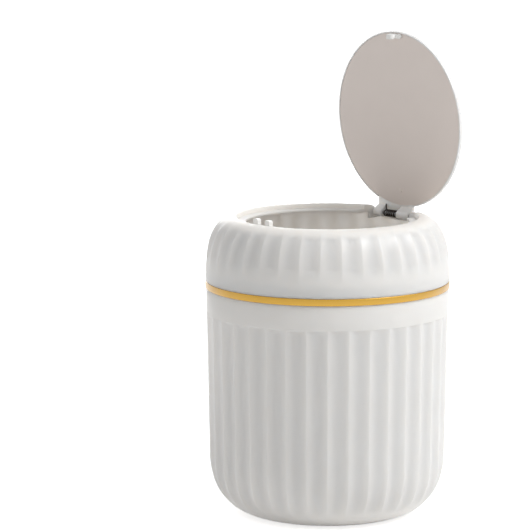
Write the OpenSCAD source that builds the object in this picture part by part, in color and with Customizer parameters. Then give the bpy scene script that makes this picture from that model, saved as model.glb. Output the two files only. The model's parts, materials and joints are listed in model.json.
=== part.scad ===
// Push-to-open desktop bin.
// A fluted bucket carries a plated ring and a domed collar that lifts off for the bag.
// A round lid lies in the collar's seat, held by a push latch at the front and thrown
// open by a torsion spring on its hinge pin.
// Origin at the centre of the foot, +Z up, latch towards -Y, hinge towards +Y.
// The lid stands open, as the spring leaves it once the latch has let go.

/* [Overall] */
// Diameter across the collar
bin_d = 140.4; // [116:0.2:172]
// Height of the lip's crest above the table
lip_z = 172.8; // [140:0.2:212]

/* [Bucket] */
// Diameter of the flat foot
foot_d = 77; // [60:1:94]
// Height of the rounded bottom
belly_h = 33.5; // [26:0.5:42]
// How square the rounded bottom is, 2 is an ellipse
belly_power = 2.1; // [2:0.05:2.8]
// How much the wall leans out between the rounded bottom and the ring, per side
bucket_draft = 1.8; // [0.5:0.1:3]
// Thickness of the moulded walls
wall = 2.0; // [1.6:0.1:2.6]
// Depth of the hollow under the foot
foot_recess = 1.2; // [0.6:0.1:2]
// Width of the ring that stands on the table
foot_ring_w = 3.5; // [2:0.5:6]
// Height of the neck that the collar slips over
neck_h = 10.5; // [7:0.5:14]
// Thickness of the neck
neck_wall = 1.6; // [1.2:0.1:2.2]
// Clearance between the neck and what slips over it
neck_gap = 0.3; // [0.15:0.05:0.6]

/* [Flutes] */
// Number of flutes round the bin
flutes = 36; // [24:1:40]
// Depth of a flute at its middle
flute_depth = 0.9; // [0.4:0.1:1.2]
// Length of the rounded end of a flute
flute_end = 4; // [2:0.5:8]
// Turn of the bucket's flutes against the collar's
bucket_turn = 3.4; // [0:0.1:9]
// Height where the bucket's flutes run out above the table
foot_band = 7; // [4:0.5:12]
// Smooth band between the bucket's flutes and the ring
bucket_band = 14.2; // [8:0.2:24]
// Smooth band between the ring and the collar's flutes
collar_band = 8; // [5:0.5:12]
// Length over which the collar's flutes run in to their full depth, above that band
collar_run = 8; // [4:0.5:10]
// Smooth band between the collar's flutes and the crest of the lip
lip_band = 5; // [3:0.5:8]
// Length over which the collar's flutes fade towards that band
collar_fade = 9; // [4:0.5:11]

/* [Ring] */
// Height of the plated ring
ring_h = 4; // [3:0.2:6]
// How far the ring stands proud of the collar
ring_proud = 0.3; // [0:0.05:0.6]

/* [Collar] */
// Height of the collar from the ring to the crest of the lip
collar_h = 36.9; // [35:0.1:46]
// Height of the curved shoulder
shoulder_h = 31.4; // [26:0.1:34]
// How far the shoulder comes in to the crest of the lip
shoulder_w = 17.3; // [15:0.1:24]
// How square the shoulder is, 2 is an ellipse
shoulder_power = 2.39; // [2:0.01:2.8]
// Rounding of the lip into the seat
lip_round = 0.7; // [0.4:0.1:1]
// Depth of the lid's seat below the crest
seat_depth = 2.6; // [2:0.1:3.4]
// Width of the ledge under the lid
ledge_w = 5.2; // [4.6:0.1:7]

/* [Lid] */
// Clearance between the lid's edge and the seat
lid_gap = 0.5; // [0.3:0.05:0.8]
// Height of the lid's edge
lid_edge_h = 2.5; // [2.2:0.1:3.2]
// Rise of the lid's dome above its edge
lid_crown = 2.7; // [1:0.1:5]
// Thickness of the lid's top skin
lid_skin = 1.5; // [1:0.1:2]
// Width of the lid's rim round the inner panel
rim_w = 0.85; // [0.6:0.05:1.2]
// Thickness of the inner panel
panel_t = 1.4; // [1.2:0.1:1.6]
// Clearance between the closed lid and the ledge
lid_rest_gap = 0.3; // [0.2:0.05:0.5]

/* [Hinge] */
// Angle through which the lid opens
open_angle = 87; // [70:1:92]
// Diameter of the hinge pin
pin_d = 2.0; // [1.6:0.1:2.4]
// Clearance round the pin in its bores
pin_play = 0.05; // [0.03:0.01:0.08]
// Distance of the pin behind the lid's edge
axis_back = 4.3; // [4:0.1:5.2]
// Distance of the pin below the ledge
axis_drop = 1.8; // [1.4:0.1:2.4]
// Diameter of the hinge barrels
barrel_d = 5.2; // [4.8:0.1:5.6]
// Width of the lid's left arm
left_arm_w = 6.5; // [4:0.5:8]
// Width of the lid's right arm
right_arm_w = 9.6; // [6:0.2:12]
// Width of the collar's knuckle
knuckle_w = 10.6; // [8:0.2:13]
// Gap between the right arm and the knuckle
knuckle_gap = 1.8; // [0.4:0.1:2.4]
// Clearance between the knuckle's end and the well's side
side_play = 0.4; // [0.3:0.05:0.6]

/* [Torsion spring] */
// Thickness of the torsion spring's wire
coil_wire = 0.8; // [0.6:0.05:0.9]
// Number of turns of the torsion spring
coil_turns = 6; // [4:1:7]
// Room that the spring has along the pin
coil_room = 13; // [11:0.5:16]

/* [Push latch] */
// Width of one jaw
jaw_w = 4; // [3:0.1:5]
// Thickness of the jaws
jaw_t = 2.6; // [2:0.1:2.8]
// Gap between the jaws
jaw_gap = 6; // [5:0.1:7]
// Height of the jaws above the crest of the lip when the latch is out
jaw_reach = 2.6; // [1.5:0.1:3.5]
// Travel of the slider
latch_travel = 6.2; // [5.5:0.1:7]
// Clearance round the slider
slide_play = 0.2; // [0.15:0.05:0.3]
// Thickness of the slider's body
slider_t = 4.6; // [4.4:0.1:5.4]
// Wall of the latch housing
housing_wall = 1.1; // [0.9:0.1:1.5]
// Wall of the pocket that holds the housing
pocket_wall = 1.3; // [1:0.1:1.8]
// Width of the striker's foot on the lid
striker_w = 10.5; // [9:0.5:12]

/* [Hidden] */

$fn = 96;
eps = 0.01;
plastic_white = "#f4f3f1";
lid_grey = "#e2dedb";
gold = "#d8a33c";
steel = "#b9bcc0";
spring_steel = "#3a3836";
latch_white = "#f7f7f5";

// Levels, from the table up
bin_r = bin_d / 2;
parting_z = lip_z - collar_h - ring_h;
collar_z = parting_z + ring_h;
shoulder_z = lip_z - shoulder_h;
ledge_z = lip_z - seat_depth;
ledge_t = wall;

// Radii, from the outside in
bucket_top_r = bin_r - ring_proud;
bucket_low_r = bucket_top_r - bucket_draft;
ring_r = bin_r + ring_proud;
crest_r = bin_r - shoulder_w;
seat_r = crest_r - lip_round;
mouth_r = seat_r - ledge_w;
lid_r = seat_r - lid_gap;
neck_r = bin_r - wall - neck_gap;
neck_in_r = neck_r - neck_wall;

// Lid, where it lies closed
lid_z = ledge_z + lid_rest_gap;
lid_edge_z = lid_z + lid_edge_h;
panel_r = lid_r - rim_w;
// Depth by which the panel's border is dished
panel_dish = 0.35;

// Hinge, seen from above: the lid's arms, the spring's room and the knuckle follow each other
axis_y = lid_r + axis_back;
axis_z = ledge_z - axis_drop;
knuckle_x = 11.4;
// Room between the left arm and the well's side
arm_room = 1.6;
right_arm_x = knuckle_x - knuckle_gap - right_arm_w;
left_arm_x = right_arm_x - coil_room - left_arm_w;
well_left = left_arm_x - arm_room;
well_right = knuckle_x + knuckle_w + side_play;
well_wall = 1.6;
well_foot_z = axis_z - 4;
well_h = 20;
// The well's side walls start behind the seat, so that the ledge before them stays a plain plate
well_front = seat_r;
// Heights of the arms' feet and backs above the pin, and the gap to the wall that they open against
arm_foot = axis_drop + lid_rest_gap + panel_dish;
arm_top = 4.1;
stop_gap = 0.4;
well_back = axis_y + arm_top + stop_gap;

// Push latch, centred under the striker
latch_y = -(mouth_r + 2.1);
slider_w = 2 * jaw_w + jaw_gap;
slot_w = slider_w + 2 * slide_play;
slot_t = jaw_t + 4 * slide_play;
jaw_top_z = lip_z + jaw_reach;
cavity_w = slider_w + 2 * slide_play;
cavity_t = slider_t + 2 * slide_play;
housing_w = cavity_w + 2 * housing_wall;
housing_t = cavity_t + 2 * housing_wall;
// Height of the follower over the slider's foot: with the latch out, and with it locked in
out_h = 3;
lock_h = out_h + latch_travel;
cam_h = lock_h + 1;
body_h = cam_h + 0.7;
body_gap = 0.3;
over_travel = 1.2;
base_t = 1.4;
housing_top = ledge_z - ledge_t;
body_top = housing_top - body_gap;
body_z = body_top - body_h;
housing_z = body_z - latch_travel - over_travel - base_t;
housing_h = housing_top - housing_z;
bridge_top = ledge_z + 0.4;
coil_bore_x = -3.8;
coil_bore_d = 3.3;
coil_bore_h = 8;
cam_x = 2.6;
cam_w = 4.6;
cam_deep = 0.8;
follower_d = 0.7;
follower_x = cam_x - (cam_w - follower_d) / 2 + 0.2;
follower_z = body_z + out_h;
foot_z = housing_z + base_t + 0.3;

// ---------------------------------------------------------------- curves

function smooth(x) = let (c = min(1, max(0, x))) c * c * (3 - 2 * c);
// A flute that a round cutter ends: the floor rises along a quarter circle
function round_end(x) = let (c = min(1, max(0, x))) sqrt(c * (2 - c));
// A flute that starts softly and reaches its full depth at a crease
function run_in(x) = let (c = min(1, max(0, x))) pow(c, 1.4);
function unit(v) = v / norm(v);

// A station on a profile is [radius, height, outward normal (r, z), flute depth]
function belly(t) =
    let (w = bucket_low_r - foot_d / 2,
        u = pow(sin(t), 2 / belly_power),
        v = pow(cos(t), 2 / belly_power),
        n = unit([pow(u, belly_power - 1) / w, -pow(v, belly_power - 1) / belly_h]),
        z = belly_h * (1 - v))
    [foot_d / 2 + w * u, z, n[0], n[1], flute_depth * smooth((z - foot_band) / (2 * flute_end))];

function bucket_flute_top() = parting_z - bucket_band;
function bucket_wall(z) =
    let (slope = bucket_draft / (parting_z - belly_h), n = unit([1, -slope]))
    [bucket_low_r + slope * (z - belly_h), z, n[0], n[1],
        flute_depth * round_end((bucket_flute_top() - z) / flute_end)];

function shoulder(t) =
    let (u = pow(cos(t), 2 / shoulder_power),
        v = pow(sin(t), 2 / shoulder_power),
        n = unit([pow(u, shoulder_power - 1) / shoulder_w, pow(v, shoulder_power - 1) / shoulder_h]),
        r = crest_r + shoulder_w * u,
        z = shoulder_z + shoulder_h * v)
    [r, z, n[0], n[1], flute_depth * min(run_in((z - collar_z - collar_band) / collar_run),
        smooth((r - crest_r - lip_band) / collar_fade))];
// Where on the shoulder a given height or radius lies
function shoulder_at_z(z) = asin(pow((z - shoulder_z) / shoulder_h, shoulder_power / 2));
function shoulder_at_r(r) = acos(pow((r - crest_r) / shoulder_w, shoulder_power / 2));

function inset(s, d) = [s[0] - d * s[2], s[1] - d * s[3], s[2], s[3], s[4]];
function plain(r, z) = [r, z, 1, 0, 0];
function reversed(list) = [for (i = [len(list) - 1:-1:0]) list[i]];

// ---------------------------------------------------------------- fluted shells

flute_steps = 4;
cols = flutes * flute_steps;
function scallop(j) = let (u = 2 * (j % flute_steps) / flute_steps - 1) 1 - u * u;
function ring_points(s, turn) = [for (j = [0:cols - 1])
    let (a = turn + j * 360 / cols, d = s[4] * scallop(j), r = s[0] - d * s[2])
    [r * cos(a), r * sin(a), s[1] - d * s[3]]];
function band_faces(a, b, base) = [for (j = [0:cols - 1])
    let (k = (j + 1) % cols, p = base + a * cols, q = base + b * cols)
    each [[p + j, q + j, q + k], [p + j, q + k, p + k]]];

// A shell whose profile runs from the axis, round the wall and back to the axis
module fluted_cup(profile, turn, low_z, floor_z) {
    last = len(profile) - 1;
    top = (last + 1) * cols + 1;
    points = [[0, 0, low_z], for (s = profile) each ring_points(s, turn), [0, 0, floor_z]];
    faces = [
        for (j = [0:cols - 1]) [0, 1 + j, 1 + (j + 1) % cols],
        for (i = [0:last - 1]) each band_faces(i, i + 1, 1),
        for (j = [0:cols - 1]) [top, 1 + last * cols + (j + 1) % cols, 1 + last * cols + j]];
    polyhedron(points, faces, convexity = 6);
}

// A shell whose profile is a closed loop
module fluted_hoop(profile, turn) {
    count = len(profile);
    points = [for (s = profile) each ring_points(s, turn)];
    faces = [for (i = [0:count - 1]) each band_faces(i, (i + 1) % count, 0)];
    polyhedron(points, faces, convexity = 6);
}

collar_turn = 180 / flutes;

module bucket() {
    low = [for (t = [22, 40, 56, 73]) belly(t)];
    fade_z = bucket_flute_top();
    high = [for (z = [belly_h, fade_z - flute_end, fade_z - 0.3 * flute_end, fade_z]) bucket_wall(z)];
    shelf_z = parting_z - wall;
    outside = concat(low, high);
    profile = concat(
        [plain(foot_d / 2 - foot_ring_w - foot_recess, foot_recess),
            plain(foot_d / 2 - foot_ring_w, 0), plain(foot_d / 2, 0)],
        outside,
        [plain(bucket_top_r, parting_z), plain(neck_r, parting_z), plain(neck_r, parting_z + neck_h),
            plain(neck_in_r, parting_z + neck_h), plain(neck_in_r, shelf_z),
            plain(bucket_top_r - wall, shelf_z - (bucket_top_r - wall - neck_in_r))],
        reversed([for (s = outside) inset(s, wall)]),
        [plain(foot_d / 2 - wall, foot_recess + wall)]);
    color(plastic_white) fluted_cup(profile, collar_turn + bucket_turn, foot_recess, foot_recess + wall);
}

module gold_ring() {
    chamfer = 0.35;
    inner_r = neck_r + neck_gap / 2;
    color(gold) translate([0, 0, parting_z]) rotate_extrude($fn = 180)
        polygon([[inner_r, 0], [ring_r - chamfer, 0], [ring_r, chamfer],
            [ring_r, ring_h - chamfer], [ring_r - chamfer, ring_h], [inner_r, ring_h]]);
}

// ---------------------------------------------------------------- collar

module collar_shell() {
    flute_z = collar_z + collar_band;
    start = [for (u = [0, 0.6, 1]) shoulder(shoulder_at_z(flute_z + u * collar_run))];
    full_t = shoulder_at_z(flute_z + collar_run);
    end_t = shoulder_at_r(crest_r + lip_band);
    rows = 6;
    rise = [for (i = [1:rows]) shoulder(full_t + (end_t - full_t) * i / rows)];
    outside = concat(start, rise, [shoulder((end_t + 90) / 2), plain(crest_r, lip_z)]);
    // Inside, the shoulder's skin stops where the ledge meets it
    inside = [for (s = concat(start, [for (i = [0:rows - 3]) rise[i]])) inset(s, wall)];
    under_z = ledge_z - ledge_t;
    meet_t = 61;
    meet = inset(shoulder(meet_t), wall);
    profile = concat([plain(bin_r, collar_z)], outside,
        [plain(mouth_r - 1, lip_z), plain(mouth_r - 1, under_z), plain(meet[0] - 1, under_z)],
        reversed(inside), [plain(bin_r - wall, collar_z)]);
    fluted_hoop(profile, collar_turn);
}

// The space inside the shoulder's skin, halfway into its thickness
module shoulder_core() {
    skin = 0.7 * wall;
    steps = 12;
    rotate_extrude($fn = 180)
        polygon(concat([[0, shoulder_z]],
            [for (i = [0:steps]) let (s = inset(shoulder(90 * i / steps), skin)) [s[0], s[1]]],
            [[0, lip_z - skin]]));
}

module seat_cut() {
    arc_steps = 6;
    // The rounding meets the crest's flat at a slant, a little inside the flat's facets
    over = 0.04;
    rotate_extrude($fn = 180)
        polygon(concat([[0, ledge_z], [seat_r, ledge_z]],
            [for (i = [0:arc_steps]) let (a = 90 * i / arc_steps)
                [crest_r - lip_round * cos(a), lip_z + over - lip_round * (1 - sin(a))]],
            [[crest_r, lip_z + 1], [0, lip_z + 1]]));
    translate([0, 0, ledge_z - ledge_t - 1]) cylinder(r = mouth_r, h = ledge_t + 3, $fn = 180);
}

module hinge_well_block() {
    intersection() {
        translate([well_left - well_wall, well_front, well_foot_z])
            cube([well_right - well_left + 2 * well_wall, well_back + well_wall - well_front, well_h]);
        shoulder_core();
    }
}

module hinge_well_cut() {
    translate([well_left, mouth_r - 6, well_foot_z - 1])
        cube([well_right - well_left, well_back - mouth_r + 6, well_h]);
}

// The barrel on the collar that holds the pin's end. Its far end is round, and its foot keeps inside the skin
module knuckle() {
    foot_t = 3.2;
    round_x = well_right - barrel_d / 2 + 1;
    translate([knuckle_x, axis_y, axis_z]) rotate([0, 90, 0]) cylinder(d = barrel_d, h = round_x - knuckle_x);
    translate([round_x, axis_y, axis_z]) rotate([0, 90, 0]) sphere(d = barrel_d, $fn = 48);
    intersection() {
        translate([knuckle_x, axis_y, axis_z - foot_t])
            cube([well_right - knuckle_x + eps, well_back - axis_y + well_wall / 2, foot_t]);
        shoulder_core();
    }
}

module latch_pocket() {
    outer_w = housing_w + 2 * pocket_wall + 2 * slide_play;
    outer_t = housing_t + 2 * pocket_wall + 2 * slide_play;
    // Two snaps hold the housing by the sides of its foot
    snap_h = 1.2;
    snap_w = 0.7;
    snap_z = housing_z - snap_h;
    translate([0, latch_y, 0]) difference() {
        translate([-outer_w / 2, -outer_t / 2, snap_z])
            cube([outer_w, outer_t, ledge_z - ledge_t / 2 - snap_z]);
        translate([-housing_w / 2 - slide_play, -housing_t / 2 - slide_play, housing_z - slide_play])
            cube([housing_w + 2 * slide_play, housing_t + 2 * slide_play, housing_h + slide_play]);
        translate([-housing_w / 2 + snap_w, -housing_t / 2 - slide_play, snap_z - 1])
            cube([housing_w - 2 * snap_w, housing_t + 2 * slide_play, snap_h + 2]);
    }
}

module collar() {
    color(plastic_white) difference() {
        union() {
            difference() {
                union() {
                    collar_shell();
                    hinge_well_block();
                    latch_pocket();
                }
                seat_cut();
                hinge_well_cut();
            }
            knuckle();
        }
        translate([-slot_w / 2, latch_y - slot_t / 2, ledge_z - ledge_t - 1])
            cube([slot_w, slot_t, ledge_t + 2]);
        translate([well_left - 1, axis_y, axis_z]) rotate([0, 90, 0])
            cylinder(d = pin_d + 2 * pin_play, h = well_right - well_left + 1);
    }
}

// ---------------------------------------------------------------- lid

// Swings what is drawn in the closed position to where the spring holds it
module opened() {
    translate([0, axis_y, axis_z]) rotate([-open_angle, 0, 0]) translate([0, -axis_y, -axis_z]) children();
}

dome_r = (lid_r * lid_r + lid_crown * lid_crown) / (2 * lid_crown);
function dome_z(r, drop) = lid_edge_z + lid_crown - dome_r + sqrt(pow(dome_r - drop, 2) - r * r);

module lid_cap() {
    edge_round = 0.9;
    toe = 0.15;
    steps = 10;
    cavity_r = panel_r + 0.05;
    shelf_z = lid_z + panel_t + 0.1;
    // The notch in the rim that the arms pass through
    notch_play = 0.3;
    notch_run = 9;
    notch_left = left_arm_x - notch_play;
    notch_right = right_arm_x + right_arm_w + notch_play;
    notch_top = axis_z + arm_top + notch_play / 2;
    color(plastic_white) opened() difference() {
        rotate_extrude($fn = 180) polygon(concat(
            [[cavity_r, lid_z], [lid_r - toe, lid_z], [lid_r, lid_z + 0.6]],
            [for (i = [0:4]) let (a = 22.5 * i)
                [lid_r - edge_round * (1 - cos(a)), lid_edge_z - edge_round * (1 - sin(a))]],
            [for (i = [1:steps]) let (r = (lid_r - edge_round) * (1 - i / steps)) [r, dome_z(r, 0)]],
            [for (i = [0:steps]) let (r = cavity_r * i / steps) [r, max(dome_z(r, lid_skin), shelf_z)]]));
        translate([notch_left, lid_r - notch_run, lid_z - 1])
            cube([notch_right - notch_left, notch_run + 3, notch_top - lid_z + 1]);
    }
}

// Side view of the hinge arms and of the web between them, about the pin. Both grow out of the panel's edge
module arm_side() {
    r = barrel_d / 2;
    polygon([[-9, arm_foot + 0.1], [-9, arm_foot + panel_t / 2], [-4.6, arm_top - 0.1], [-1.5, arm_top],
        [1.2, arm_top - 0.5], [2.3, 2.2], [r, 0], [0, -r * 0.2], [-r * 0.95, -0.7], [-4.4, arm_foot]]);
}

module web_side() {
    polygon([[-9, arm_foot + 0.1], [-9, arm_foot + panel_t / 2], [-4.6, arm_top - 0.1], [-1.5, arm_top],
        [1.2, arm_top - 0.5], [1.9, 3.0], [-1.5, 3.0], [-3.2, 2.75], [-4.4, arm_foot]]);
}

// Draws a side view from x0 over a width along the pin
module along_pin(x0, w) {
    translate([x0, axis_y, axis_z]) rotate([90, 0, 90]) linear_extrude(w) children();
}

module lid_panel() {
    border = 6;
    pip_y = 42;
    color(lid_grey) opened() {
        difference() {
            union() {
                rotate_extrude($fn = 180) polygon(concat(
                    [[0, lid_z]],
                    [for (i = [0:6]) let (u = i / 6)
                        [panel_r - border * (1 - u), lid_z + panel_dish * u * u]],
                    [[panel_r, lid_z + panel_t], [0, lid_z + panel_t]]));
                along_pin(left_arm_x, left_arm_w) arm_side();
                along_pin(right_arm_x, right_arm_w) arm_side();
                along_pin(left_arm_x + left_arm_w - eps, coil_room + 2 * eps) web_side();
                along_pin(left_arm_x, left_arm_w) circle(d = barrel_d);
                along_pin(right_arm_x, right_arm_w) circle(d = barrel_d);
                translate([0, pip_y, lid_z - 0.4]) cylinder(d = 2.4, h = 1);
            }
            translate([left_arm_x - 1, axis_y, axis_z]) rotate([0, 90, 0])
                cylinder(d = pin_d + 2 * pin_play, h = right_arm_x + right_arm_w - left_arm_x + 1 + eps);
        }
    }
}

module lid_striker() {
    foot_h = 1.0;
    foot_t = jaw_t;
    foot_run = striker_w - foot_t;
    blade_t = foot_t - 0.2;
    neck_w = 2.2;
    head_w = jaw_gap - 1;
    head_h = 1.5;
    point = 0.8;
    push_gap = 0.4;
    // The head ends just above the bridge of the slider that it has pushed in
    tip = lid_z - (bridge_top - latch_travel + push_gap);
    half = [[neck_w / 2, -foot_h / 2], [neck_w / 2, head_h - tip], [head_w / 2, head_h - tip],
        [head_w / 2, point - tip], [head_w / 2 - point, -tip]];
    color(latch_white) opened() translate([0, latch_y, lid_z]) {
        for (side = [-1, 1]) translate([side * foot_run / 2, 0, -foot_h]) cylinder(d = foot_t, h = foot_h);
        translate([-foot_run / 2, -foot_t / 2, -foot_h]) cube([foot_run, foot_t, foot_h]);
        rotate([90, 0, 0]) translate([0, 0, -blade_t / 2]) linear_extrude(blade_t)
            polygon(concat(half, reversed([for (p = half) [-p[0], p[1]]])));
    }
}

// ---------------------------------------------------------------- hinge

module hinge_pin() {
    // The pin ends halfway through the well's left wall, and just short of its bore's end in the knuckle
    held = well_wall / 2;
    end_gap = 0.2;
    length = well_right - well_left + held - end_gap;
    chamfer = 0.25;
    color(steel) translate([well_left - held, axis_y, axis_z]) rotate([0, 90, 0]) rotate_extrude($fn = 48)
        polygon([[0, 0], [pin_d / 2 - chamfer, 0], [pin_d / 2, chamfer],
            [pin_d / 2, length - chamfer], [pin_d / 2 - chamfer, length], [0, length]]);
}

// A round wire of six sides along a path, with a frame that never flips
wire_sides = 6;
function tangent(path, i) = unit(path[min(i + 1, len(path) - 1)] - path[max(i - 1, 0)]);
function carry(v, t) = unit(v - (v * t) * t);
function frames(path, i, v) = i == len(path) ? [] :
    let (t = tangent(path, i), n = carry(v, t)) concat([[n, cross(t, n)]], frames(path, i + 1, n));
module wire(path, d, side) {
    fr = frames(path, 0, side);
    last = len(path) - 1;
    points = [for (i = [0:last]) for (k = [0:wire_sides - 1]) let (a = 360 * k / wire_sides)
        path[i] + d / 2 * (cos(a) * fr[i][0] + sin(a) * fr[i][1])];
    faces = concat(
        [[for (k = [0:wire_sides - 1]) k]],
        [for (i = [0:last - 1]) for (k = [0:wire_sides - 1])
            let (m = (k + 1) % wire_sides, p = i * wire_sides, q = p + wire_sides)
            each [[p + k, q + k, q + m], [p + k, q + m, p + m]]],
        [[for (k = [wire_sides - 1:-1:0]) last * wire_sides + k]]);
    polyhedron(points, faces, convexity = 4);
}

rings_per_turn = 8;
// The least distance between points of a path that lie more than half a turn apart
function least_gap(path, d) = min([for (i = [0:len(path) - 1]) for (j = [i + 5:1:len(path) - 1])
    norm(path[i] - path[j])]) - d;

coil_r = pin_d / 2 + 0.45 + coil_wire / 2;
// Room beside the turns for each leg
leg_room = 1.7;
coil_pitch = (coil_room - 2 * leg_room) / coil_turns;
coil_x = right_arm_x - leg_room - coil_pitch * coil_turns;
// The turns run from the lid's leg on the left to the collar's leg on the right
function coil_path() = [for (i = [0:coil_turns * rings_per_turn + 2])
    let (a = -20 - 360 * i / rings_per_turn)
    [coil_x + coil_pitch * i / rings_per_turn, axis_y + coil_r * cos(a), axis_z + coil_r * sin(a)]];
module torsion_spring() {
    turns = coil_path();
    first = turns[0];
    end = turns[len(turns) - 1];
    // The lid's leg lies along the web of the open lid, and the collar's leg ends at the well's back
    lid_leg = [[first[0] - 0.9, axis_y + 1.3, axis_z + 5.0], [first[0] - 0.9, axis_y + 1.4, axis_z + 2.6],
        [first[0] - 0.6, first[1] - 0.1, axis_z + 0.9]];
    collar_leg = [[end[0] + 0.5, end[1] + 0.1, end[2] - 1.3], [end[0] + 0.6, end[1] + 1.3, end[2] - 2.0],
        [end[0] + 0.6, well_back - 0.1, end[2] - 2.1]];
    path = concat(lid_leg, turns, collar_leg);
    echo(torsion_spring_least_gap = least_gap(path, coil_wire));
    color(spring_steel) wire(path, coil_wire, [1, 0, 0]);
}

// ---------------------------------------------------------------- push latch

module latch_box(w, t, z, h) {
    translate([-w / 2, latch_y - t / 2, z]) cube([w, t, h]);
}

module latch_housing() {
    window_w = follower_d + 1.6;
    window_over = 1.4;
    color(latch_white) difference() {
        latch_box(housing_w, housing_t, housing_z, housing_h);
        latch_box(cavity_w, cavity_t, housing_z - 1, housing_h + 2);
        translate([follower_x - window_w / 2, latch_y, housing_z + base_t - 0.1])
            cube([window_w, housing_t, follower_z + window_over - housing_z - base_t]);
    }
}

module latch_base() {
    post_h = 2.2;
    lug = [3, 1.1, 0.9];
    lug_gap = 0.3;
    lug_y = latch_y + cavity_t / 2 - lug_gap - lug[1];
    color(latch_white) difference() {
        union() {
            latch_box(cavity_w - 0.1, cavity_t - 0.1, housing_z, base_t);
            translate([coil_bore_x, latch_y, housing_z + base_t - eps]) cylinder(d = 1.6, h = post_h);
            translate([follower_x - lug[0] / 2, lug_y, housing_z + base_t - eps]) cube(lug);
        }
        translate([follower_x, latch_y, foot_z]) rotate([-90, 0, 0])
            cylinder(d = follower_d + 0.1, h = housing_t, $fn = 24);
    }
}

// The heart whose notch holds the follower when the latch is in
module heart() {
    half = [[0, -3.8], [-1.15, -2.2], [-1.15, -0.8], [-0.7, -0.3]];
    translate([0, lock_h]) polygon(concat(half, [[0, -0.9]],
        reversed([for (i = [1:len(half) - 1]) [-half[i][0], half[i][1]]])));
}

module latch_slider() {
    face = slider_t / 2;
    color(latch_white) translate([0, latch_y, 0]) {
        difference() {
            union() {
                translate([-slider_w / 2, -slider_t / 2, body_z]) cube([slider_w, slider_t, body_h]);
                translate([-slider_w / 2, -jaw_t / 2, body_top - 1])
                    cube([slider_w, jaw_t, bridge_top - body_top + 1]);
                for (side = [-1, 1]) translate([side * (jaw_gap + jaw_w) / 2, 0, 0]) jaw();
            }
            translate([coil_bore_x, 0, body_z - 1]) cylinder(d = coil_bore_d, h = coil_bore_h + 1, $fn = 48);
            translate([cam_x, face + eps, body_z]) rotate([90, 0, 0]) linear_extrude(cam_deep + eps)
                difference() {
                    translate([-cam_w / 2, -1]) square([cam_w, cam_h + 1]);
                    heart();
                }
        }
    }
}

// A jaw stands on the slider, with a rounded tip
module jaw() {
    tip_round = 1.2;
    low = body_top - 0.5;
    tip_z = jaw_top_z - tip_round;
    translate([0, jaw_t / 2, 0]) rotate([90, 0, 0]) linear_extrude(jaw_t) {
        translate([-jaw_w / 2, low]) square([jaw_w, tip_z - low]);
        translate([-jaw_w / 2 + tip_round, tip_z - eps]) square([jaw_w - 2 * tip_round, tip_round + eps]);
        for (s = [-1, 1]) translate([s * (jaw_w / 2 - tip_round), tip_z]) circle(r = tip_round, $fn = 32);
    }
}

module latch_spring() {
    spring_wire = 0.4;
    spring_turns = 8;
    spring_r = 1.25;
    seat = spring_wire / 2 + 0.05;
    low = housing_z + base_t + seat;
    high = body_z + coil_bore_h - seat;
    pitch = (high - low) / spring_turns;
    path = [for (i = [0:spring_turns * rings_per_turn]) let (a = 360 * i / rings_per_turn)
        [coil_bore_x + spring_r * cos(a), latch_y + spring_r * sin(a), low + pitch * i / rings_per_turn]];
    echo(latch_spring_least_gap = least_gap(path, spring_wire));
    color(steel) wire(path, spring_wire, [1, 0, 0]);
}

// A bent wire: its foot turns in the base and its tip runs round the heart
module latch_follower() {
    stem_y = latch_y + cavity_t / 2 + follower_d / 2 + 0.1;
    tip_y = latch_y + slider_t / 2 - cam_deep + 0.15;
    color(steel) {
        translate([follower_x, stem_y, foot_z]) cylinder(d = follower_d, h = follower_z - foot_z, $fn = 24);
        for (z = [foot_z, follower_z]) translate([follower_x, stem_y, z]) sphere(d = follower_d, $fn = 24);
        translate([follower_x, tip_y, follower_z]) rotate([-90, 0, 0])
            cylinder(d = follower_d, h = stem_y - tip_y, $fn = 24);
        translate([follower_x, latch_y + cavity_t / 2 - 1.3, foot_z]) rotate([-90, 0, 0])
            cylinder(d = follower_d, h = stem_y - latch_y - cavity_t / 2 + 1.3, $fn = 24);
    }
}

bucket();
gold_ring();
collar();
lid_cap();
lid_panel();
lid_striker();
hinge_pin();
torsion_spring();
latch_housing();
latch_base();
latch_slider();
latch_spring();
latch_follower();
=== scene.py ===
"""A push-to-open desktop bin: fluted bucket, plated ring, domed collar, sprung lid and push latch.

Lengths are in metres. The latch faces -Y, the hinge +Y, and the bin stands on z = 0.
"""

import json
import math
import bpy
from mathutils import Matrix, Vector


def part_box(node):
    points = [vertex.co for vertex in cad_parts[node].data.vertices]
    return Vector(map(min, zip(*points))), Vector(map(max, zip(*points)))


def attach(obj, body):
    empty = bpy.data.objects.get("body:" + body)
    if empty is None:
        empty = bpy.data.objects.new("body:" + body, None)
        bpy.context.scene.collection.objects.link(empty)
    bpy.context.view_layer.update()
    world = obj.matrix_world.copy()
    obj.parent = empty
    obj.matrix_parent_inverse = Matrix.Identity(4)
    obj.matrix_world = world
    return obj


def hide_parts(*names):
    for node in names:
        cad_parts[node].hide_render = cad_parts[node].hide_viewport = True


bl_info = {
    "name": "Desktop Bin",
    "version": (1, 0, 0),
    "blender": (4, 5, 0),
    "location": "View3D > Sidebar > Bin",
    "description": "Models and finishes a push-to-open desktop bin round its packed frame",
    "category": "Add Mesh",
}

from collections import namedtuple

import bmesh
import bpy
from mathutils import Matrix, Vector

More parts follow.
